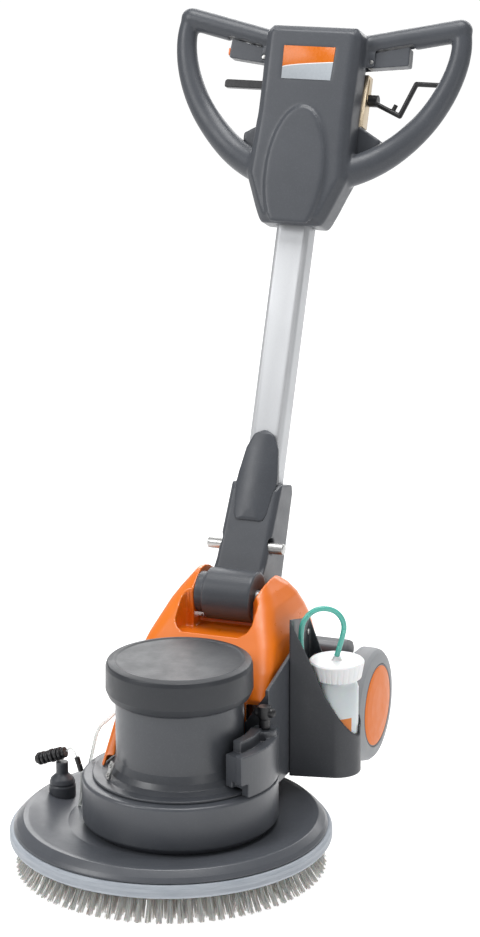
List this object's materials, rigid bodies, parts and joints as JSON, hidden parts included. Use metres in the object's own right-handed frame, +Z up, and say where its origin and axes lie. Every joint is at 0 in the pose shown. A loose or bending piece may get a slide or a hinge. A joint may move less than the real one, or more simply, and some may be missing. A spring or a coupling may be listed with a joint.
{
  "type": "rotary floor machine",
  "caption": "Upright single-disc floor machine with a round brush deck, upright motor, orange hood, tilting handle with looped grips, rear wheels and a solution bottle in a side holder.",
  "frame": {"origin": "on the floor, on the brush's axis", "axes": "+Z up, -Y towards the front where the motor stands, +X to the right in a front view, the side with the bottle"},
  "size_m": [0.4585, 0.8256, 1.088],
  "materials": {
    "charcoal_paint": "satin, slightly grained charcoal grey enamel",
    "charcoal_plastic": "satin moulded charcoal grey, faint sheen on the rounded edges",
    "dark_plastic": "satin moulded plastic, nearly black grey",
    "yellow_zinc": "yellow-passivated steel plate",
    "orange_plastic": "smooth glossy orange moulding",
    "bumper_grey": "smooth pale blue-grey rubber bumper",
    "brush_board": "pale moulded brush back",
    "bristle_white": "off-white nylon tufts",
    "black_plastic": "black moulded plastic, fine grain",
    "tube_silver": "silver satin tube with fine lengthwise drawing marks",
    "steel": "plain machined steel",
    "zinc": "bright zinc-plated screws and pins",
    "gear_steel": "cut gear steel with a thin oil film",
    "iron_core": "laminated iron core, varnished",
    "cast_alloy": "bare cast alloy",
    "tyre_grey": "mid-grey non-marking tyre rubber, matt",
    "wheel_disc": "orange hub disc face with a grey rim",
    "bottle_clear": "milky translucent blown plastic",
    "cap_white": "white moulded cap, ribbed grip",
    "hose_teal": "translucent turquoise hose",
    "line_clear": "thin clear tube",
    "label_print": "printed label, plain orange and grey fields"
  },
  "bodies": {
    "base": {"brush_housing": "charcoal_paint", "bumper_ring": "bumper_grey", "gear_case": "charcoal_paint", "gearbox_bearings": "steel", "motor_housing": "charcoal_paint", "motor_cap": "charcoal_plastic", "stator": "iron_core", "rotor_bearings": "steel", "chassis_frame": "charcoal_paint", "hood": "orange_plastic", "fender": "charcoal_plastic", "axle": "steel", "pivot_pin": "steel", "clamp_bracket": "charcoal_paint", "riveted_tab": "zinc", "inlet_neck": "charcoal_plastic", "spray_plug": "black_plastic", "inline_valve": "black_plastic", "bottle_holder": "dark_plastic", "holder_screws": "zinc", "spray_tube": "line_clear", "nozzle_tube": "line_clear", "drop_tube": "line_clear"},
    "brush": {"drive_shaft": "gear_steel", "output_gear": "gear_steel", "drive_hub": "cast_alloy", "brush_block": "brush_board", "bristles": "bristle_white"},
    "layshaft": {"layshaft": "gear_steel", "layshaft_gear": "gear_steel", "layshaft_pinion": "gear_steel"},
    "rotor": {"rotor_shaft": "gear_steel", "rotor_core": "iron_core", "motor_pinion": "gear_steel", "cooling_fan": "black_plastic"},
    "handle": {"joint_casting": "charcoal_plastic", "tongue_cover": "charcoal_plastic", "handle_tube": "tube_silver", "head_front": "charcoal_plastic", "head_back": "charcoal_plastic", "label_plate": "label_print", "cable_gland": "black_plastic", "side_plate": "yellow_zinc", "lever_pins": "zinc"},
    "clamp_knob": {"clamp_knob": "black_plastic"},
    "tilt_lock": {"lock_rod": "zinc"},
    "release_lever": {"release_lever": "black_plastic"},
    "spray_lever": {"spray_lever": "black_plastic"},
    "trigger_left": {"trigger_left": "charcoal_plastic"},
    "trigger_right": {"trigger_right": "charcoal_plastic"},
    "safety_button": {"safety_button": "orange_plastic"},
    "bottle": {"bottle": "bottle_clear"},
    "bottle_cap": {"bottle_cap": "cap_white", "dip_tube": "line_clear", "hose": "hose_teal", "hose_plug": "black_plastic"},
    "wheel_left": {"wheel_left": "tyre_grey", "hub_disc_left": "wheel_disc"},
    "wheel_right": {"wheel_right": "tyre_grey", "hub_disc_right": "wheel_disc"}
  },
  "joints": [
    {"name": "brush_spin", "type": "hinge", "parent": "base", "child": "brush", "pos_m": [0, 0, 0], "axis": [0, 0, 1], "continuous": true},
    {"name": "layshaft_spin", "type": "hinge", "parent": "base", "child": "layshaft", "pos_m": [0.04806, 0.03592, 0], "axis": [0, 0, 1], "continuous": true},
    {"name": "motor_spin", "type": "hinge", "parent": "base", "child": "rotor", "pos_m": [0.014, 0, 0], "axis": [0, 0, 1], "continuous": true},
    {"name": "handle_tilt", "type": "hinge", "parent": "base", "child": "handle", "pos_m": [0.014, 0.1875, 0.3273], "axis": [-1, 0, 0], "range_deg": [-21.7, 33.3]},
    {"name": "wheel_left_spin", "type": "hinge", "parent": "base", "child": "wheel_left", "pos_m": [0.014, 0.343, 0.131], "axis": [1, 0, 0], "continuous": true},
    {"name": "wheel_right_spin", "type": "hinge", "parent": "base", "child": "wheel_right", "pos_m": [0.014, 0.343, 0.131], "axis": [1, 0, 0], "continuous": true},
    {"name": "clamp_turn", "type": "hinge", "parent": "base", "child": "clamp_knob", "pos_m": [0.126, 0.027, 0.2], "axis": [0, 0, 1], "continuous": true},
    {"name": "lock_slide", "type": "slide", "parent": "handle", "child": "tilt_lock", "axis": [0, 0.3697, 0.9291], "range_m": [0, 0.006], "stiffness_N_per_m": 1200, "springref_m": -0.01},
    {"name": "release_swing", "type": "hinge", "parent": "handle", "child": "release_lever", "pos_m": [-0.062, 0.57668, 0.98071], "axis": [0, 0.9291, -0.3697], "range_deg": [0, 14]},
    {"name": "spray_swing", "type": "hinge", "parent": "handle", "child": "spray_lever", "pos_m": [0.094, 0.56927, 0.96751], "axis": [-1, 0, 0], "range_deg": [0, 15], "stiffness_Nm_per_rad": 1.2, "springref_deg": -17.19},
    {"name": "trigger_left_swing", "type": "hinge", "parent": "handle", "child": "trigger_left", "pos_m": [-0.068, 0.56881, 1.02043], "axis": [0, 0.9291, -0.3697], "range_deg": [0, 3], "stiffness_Nm_per_rad": 10, "springref_deg": -1.15},
    {"name": "trigger_right_swing", "type": "hinge", "parent": "handle", "child": "trigger_right", "pos_m": [0.096, 0.56881, 1.02043], "axis": [0, -0.9291, 0.3697], "range_deg": [0, 3], "stiffness_Nm_per_rad": 10, "springref_deg": -1.15},
    {"name": "safety_push", "type": "slide", "parent": "trigger_left", "child": "safety_button", "axis": [1, 0, 0], "range_m": [0, 0.0025], "stiffness_N_per_m": 600, "springref_m": -0.001},
    {"name": "bottle_lift", "type": "slide", "parent": "base", "child": "bottle", "axis": [0, 0, 1], "range_m": [0, 0.2]},
    {"name": "cap_lift", "type": "slide", "parent": "bottle", "child": "bottle_cap", "axis": [0, 0, 1], "range_m": [0, 0.16]}
  ],
  "couplings": [
    {"joint": "layshaft_spin", "follows": "brush_spin", "ratio": -2.3333},
    {"joint": "motor_spin", "follows": "brush_spin", "ratio": 8.6667},
    {"joint": "release_swing", "follows": "lock_slide", "rad_per_m": 40.724}
  ]
}
